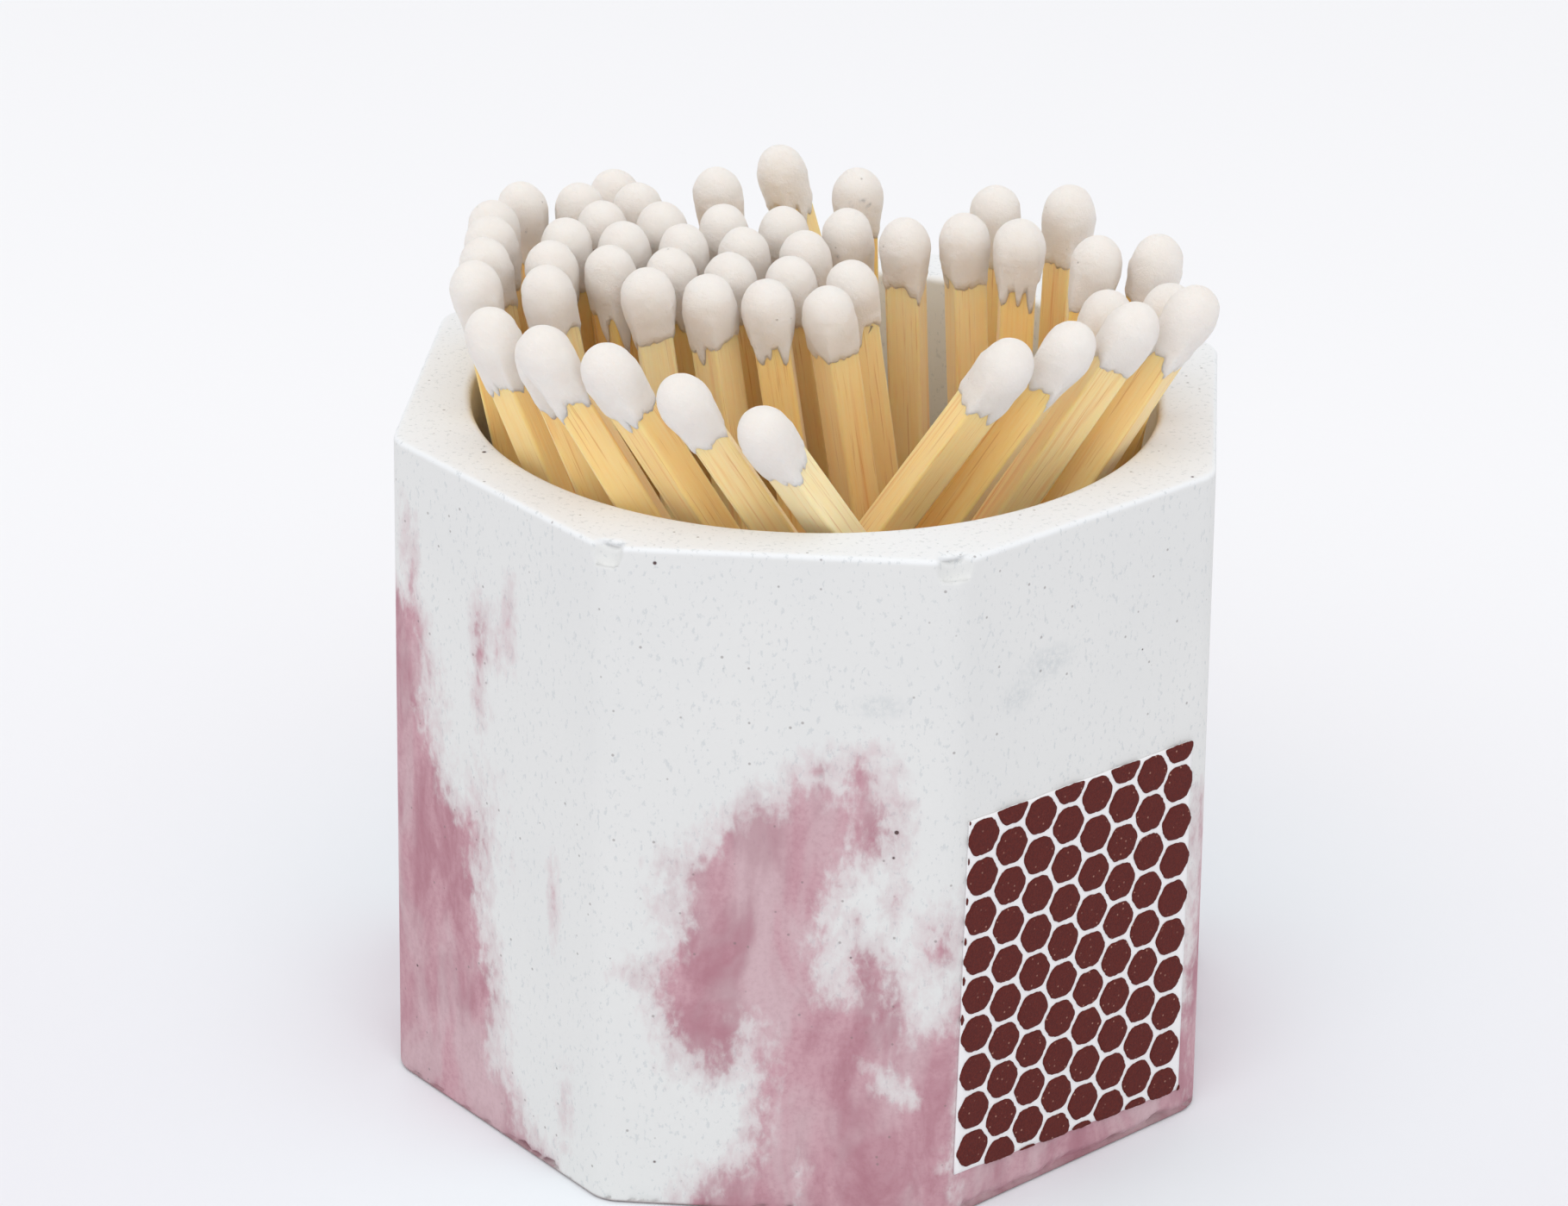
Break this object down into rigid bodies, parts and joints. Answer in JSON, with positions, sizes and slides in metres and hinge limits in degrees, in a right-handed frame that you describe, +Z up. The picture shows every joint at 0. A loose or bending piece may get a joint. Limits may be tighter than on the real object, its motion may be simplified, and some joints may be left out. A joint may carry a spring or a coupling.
{
  "type": "match pot",
  "caption": "Octagonal cast pot with a round well full of loose wooden matches and a cell-patterned striker patch on one face.",
  "frame": {"origin": "middle of the pot's base, on the surface that it stands on", "axes": "+Z up along the pot's axis; the face without a patch that looks at the viewer is towards -Y; the striker patch is on the face between +X and -Y"},
  "size_m": [0.0512, 0.0512, 0.0551],
  "materials": {
    "cast_body": "matt cast mineral body, white with dusty pink marbling",
    "film": "white self-adhesive film, satin",
    "striking_compound": "dark red-brown gritty friction coating",
    "matchwood": "pale split aspen, oiled, with off-white dipped heads"
  },
  "bodies": {
    "pot": {"pot": "cast_body", "striker_sheet": "film", "striker_cells": "striking_compound"},
    "match_01": {"match_01": "matchwood"},
    "match_02": {"match_02": "matchwood"},
    "match_03": {"match_03": "matchwood"},
    "match_04": {"match_04": "matchwood"},
    "match_05": {"match_05": "matchwood"},
    "match_06": {"match_06": "matchwood"},
    "match_07": {"match_07": "matchwood"},
    "match_08": {"match_08": "matchwood"},
    "match_09": {"match_09": "matchwood"},
    "match_10": {"match_10": "matchwood"},
    "match_11": {"match_11": "matchwood"},
    "match_12": {"match_12": "matchwood"},
    "match_13": {"match_13": "matchwood"},
    "match_14": {"match_14": "matchwood"},
    "match_15": {"match_15": "matchwood"},
    "match_16": {"match_16": "matchwood"},
    "match_17": {"match_17": "matchwood"},
    "match_18": {"match_18": "matchwood"},
    "match_19": {"match_19": "matchwood"},
    "match_20": {"match_20": "matchwood"},
    "match_21": {"match_21": "matchwood"},
    "match_22": {"match_22": "matchwood"},
    "match_23": {"match_23": "matchwood"},
    "match_24": {"match_24": "matchwood"},
    "match_25": {"match_25": "matchwood"},
    "match_26": {"match_26": "matchwood"},
    "match_27": {"match_27": "matchwood"},
    "match_28": {"match_28": "matchwood"},
    "match_29": {"match_29": "matchwood"},
    "match_30": {"match_30": "matchwood"},
    "match_31": {"match_31": "matchwood"},
    "match_32": {"match_32": "matchwood"},
    "match_33": {"match_33": "matchwood"},
    "match_34": {"match_34": "matchwood"},
    "match_35": {"match_35": "matchwood"},
    "match_36": {"match_36": "matchwood"},
    "match_37": {"match_37": "matchwood"},
    "match_38": {"match_38": "matchwood"},
    "match_39": {"match_39": "matchwood"},
    "match_40": {"match_40": "matchwood"},
    "match_41": {"match_41": "matchwood"},
    "match_42": {"match_42": "matchwood"},
    "match_43": {"match_43": "matchwood"},
    "match_44": {"match_44": "matchwood"},
    "match_45": {"match_45": "matchwood"},
    "match_46": {"match_46": "matchwood"},
    "match_47": {"match_47": "matchwood"},
    "match_48": {"match_48": "matchwood"},
    "match_49": {"match_49": "matchwood"},
    "match_50": {"match_50": "matchwood"},
    "match_51": {"match_51": "matchwood"}
  },
  "joints": [
    {"name": "match_01_lift", "type": "slide", "parent": "pot", "child": "match_01", "axis": [-0.4897, -0.0463, 0.8706], "range_m": [0, 0.05]},
    {"name": "match_02_lift", "type": "slide", "parent": "pot", "child": "match_02", "axis": [-0.4731, -0.1745, 0.8635], "range_m": [0, 0.05]},
    {"name": "match_03_lift", "type": "slide", "parent": "pot", "child": "match_03", "axis": [-0.4474, -0.2962, 0.8438], "range_m": [0, 0.05]},
    {"name": "match_04_lift", "type": "slide", "parent": "pot", "child": "match_04", "axis": [-0.4146, -0.407, 0.8139], "range_m": [0, 0.05]},
    {"name": "match_05_lift", "type": "slide", "parent": "pot", "child": "match_05", "axis": [-0.3735, 0.0258, 0.9273], "range_m": [0, 0.05]},
    {"name": "match_06_lift", "type": "slide", "parent": "pot", "child": "match_06", "axis": [-0.3779, 0.0308, 0.9254], "range_m": [0, 0.05]},
    {"name": "match_07_lift", "type": "slide", "parent": "pot", "child": "match_07", "axis": [0.5149, -0.1452, 0.8449], "range_m": [0, 0.05]},
    {"name": "match_08_lift", "type": "slide", "parent": "pot", "child": "match_08", "axis": [0.5081, -0.0981, 0.8557], "range_m": [0, 0.05]},
    {"name": "match_09_lift", "type": "slide", "parent": "pot", "child": "match_09", "axis": [0.4999, -0.0495, 0.8647], "range_m": [0, 0.05]},
    {"name": "match_10_lift", "type": "slide", "parent": "pot", "child": "match_10", "axis": [0.4903, 0, 0.8716], "range_m": [0, 0.05]},
    {"name": "match_11_lift", "type": "slide", "parent": "pot", "child": "match_11", "axis": [0.3201, -0.0051, 0.9474], "range_m": [0, 0.05]},
    {"name": "match_12_lift", "type": "slide", "parent": "pot", "child": "match_12", "axis": [0.32, 0.0128, 0.9473], "range_m": [0, 0.05]},
    {"name": "match_13_lift", "type": "slide", "parent": "pot", "child": "match_13", "axis": [0.1549, 0.0133, 0.9878], "range_m": [0, 0.05]},
    {"name": "match_14_lift", "type": "slide", "parent": "pot", "child": "match_14", "axis": [0.1522, 0.0134, 0.9883], "range_m": [0, 0.05]},
    {"name": "match_15_lift", "type": "slide", "parent": "pot", "child": "match_15", "axis": [-0.1748, -0.098, 0.9797], "range_m": [0, 0.05]},
    {"name": "match_16_lift", "type": "slide", "parent": "pot", "child": "match_16", "axis": [-0.1615, -0.1197, 0.9796], "range_m": [0, 0.05]},
    {"name": "match_17_lift", "type": "slide", "parent": "pot", "child": "match_17", "axis": [-0.1116, -0.142, 0.9836], "range_m": [0, 0.05]},
    {"name": "match_18_lift", "type": "slide", "parent": "pot", "child": "match_18", "axis": [-0.1139, -0.1632, 0.98], "range_m": [0, 0.05]},
    {"name": "match_19_lift", "type": "slide", "parent": "pot", "child": "match_19", "axis": [-0.1187, -0.1841, 0.9757], "range_m": [0, 0.05]},
    {"name": "match_20_lift", "type": "slide", "parent": "pot", "child": "match_20", "axis": [-0.1208, -0.2048, 0.9713], "range_m": [0, 0.05]},
    {"name": "match_21_lift", "type": "slide", "parent": "pot", "child": "match_21", "axis": [-0.1411, -0.1011, 0.9848], "range_m": [0, 0.05]},
    {"name": "match_22_lift", "type": "slide", "parent": "pot", "child": "match_22", "axis": [-0.13, -0.1166, 0.9846], "range_m": [0, 0.05]},
    {"name": "match_23_lift", "type": "slide", "parent": "pot", "child": "match_23", "axis": [-0.1293, -0.1319, 0.9828], "range_m": [0, 0.05]},
    {"name": "match_24_lift", "type": "slide", "parent": "pot", "child": "match_24", "axis": [-0.1259, -0.1472, 0.9811], "range_m": [0, 0.05]},
    {"name": "match_25_lift", "type": "slide", "parent": "pot", "child": "match_25", "axis": [-0.1252, -0.1622, 0.9788], "range_m": [0, 0.05]},
    {"name": "match_26_lift", "type": "slide", "parent": "pot", "child": "match_26", "axis": [-0.1219, -0.1773, 0.9766], "range_m": [0, 0.05]},
    {"name": "match_27_lift", "type": "slide", "parent": "pot", "child": "match_27", "axis": [-0.1185, -0.1922, 0.9742], "range_m": [0, 0.05]},
    {"name": "match_28_lift", "type": "slide", "parent": "pot", "child": "match_28", "axis": [-0.1015, -0.1122, 0.9885], "range_m": [0, 0.05]},
    {"name": "match_29_lift", "type": "slide", "parent": "pot", "child": "match_29", "axis": [-0.0802, -0.124, 0.989], "range_m": [0, 0.05]},
    {"name": "match_30_lift", "type": "slide", "parent": "pot", "child": "match_30", "axis": [-0.0827, -0.1356, 0.9873], "range_m": [0, 0.05]},
    {"name": "match_31_lift", "type": "slide", "parent": "pot", "child": "match_31", "axis": [-0.0826, -0.1471, 0.9857], "range_m": [0, 0.05]},
    {"name": "match_32_lift", "type": "slide", "parent": "pot", "child": "match_32", "axis": [-0.0824, -0.1585, 0.9839], "range_m": [0, 0.05]},
    {"name": "match_33_lift", "type": "slide", "parent": "pot", "child": "match_33", "axis": [-0.0796, -0.1699, 0.9822], "range_m": [0, 0.05]},
    {"name": "match_34_lift", "type": "slide", "parent": "pot", "child": "match_34", "axis": [-0.1512, -0.1193, 0.9813], "range_m": [0, 0.05]},
    {"name": "match_35_lift", "type": "slide", "parent": "pot", "child": "match_35", "axis": [-0.0812, -0.1303, 0.9881], "range_m": [0, 0.05]},
    {"name": "match_36_lift", "type": "slide", "parent": "pot", "child": "match_36", "axis": [-0.0768, -0.1403, 0.9871], "range_m": [0, 0.05]},
    {"name": "match_37_lift", "type": "slide", "parent": "pot", "child": "match_37", "axis": [-0.0698, -0.1503, 0.9862], "range_m": [0, 0.05]},
    {"name": "match_38_lift", "type": "slide", "parent": "pot", "child": "match_38", "axis": [-0.0655, -0.1602, 0.9849], "range_m": [0, 0.05]},
    {"name": "match_39_lift", "type": "slide", "parent": "pot", "child": "match_39", "axis": [-0.0558, -0.1702, 0.9838], "range_m": [0, 0.05]},
    {"name": "match_40_lift", "type": "slide", "parent": "pot", "child": "match_40", "axis": [-0.0374, -0.1469, 0.9884], "range_m": [0, 0.05]},
    {"name": "match_41_lift", "type": "slide", "parent": "pot", "child": "match_41", "axis": [-0.0402, -0.1206, 0.9919], "range_m": [0, 0.05]},
    {"name": "match_42_lift", "type": "slide", "parent": "pot", "child": "match_42", "axis": [0.0189, -0.054, 0.9984], "range_m": [0, 0.05]},
    {"name": "match_43_lift", "type": "slide", "parent": "pot", "child": "match_43", "axis": [0.027, -0.054, 0.9982], "range_m": [0, 0.05]},
    {"name": "match_44_lift", "type": "slide", "parent": "pot", "child": "match_44", "axis": [-0.1667, -0.1164, 0.9791], "range_m": [0, 0.05]},
    {"name": "match_45_lift", "type": "slide", "parent": "pot", "child": "match_45", "axis": [-0.1639, -0.1282, 0.9781], "range_m": [0, 0.05]},
    {"name": "match_46_lift", "type": "slide", "parent": "pot", "child": "match_46", "axis": [-0.1611, -0.1399, 0.977], "range_m": [0, 0.05]},
    {"name": "match_47_lift", "type": "slide", "parent": "pot", "child": "match_47", "axis": [-0.1332, -0.1013, 0.9859], "range_m": [0, 0.05]},
    {"name": "match_48_lift", "type": "slide", "parent": "pot", "child": "match_48", "axis": [-0.0269, -0.1074, 0.9938], "range_m": [0, 0.05]},
    {"name": "match_49_lift", "type": "slide", "parent": "pot", "child": "match_49", "axis": [0.0135, -0.0942, 0.9955], "range_m": [0, 0.05]},
    {"name": "match_50_lift", "type": "slide", "parent": "pot", "child": "match_50", "axis": [-0.2343, -0.1302, 0.9634], "range_m": [0, 0.05]},
    {"name": "match_51_lift", "type": "slide", "parent": "pot", "child": "match_51", "axis": [-0.2728, 0.039, 0.9613], "range_m": [0, 0.05]}
  ]
}
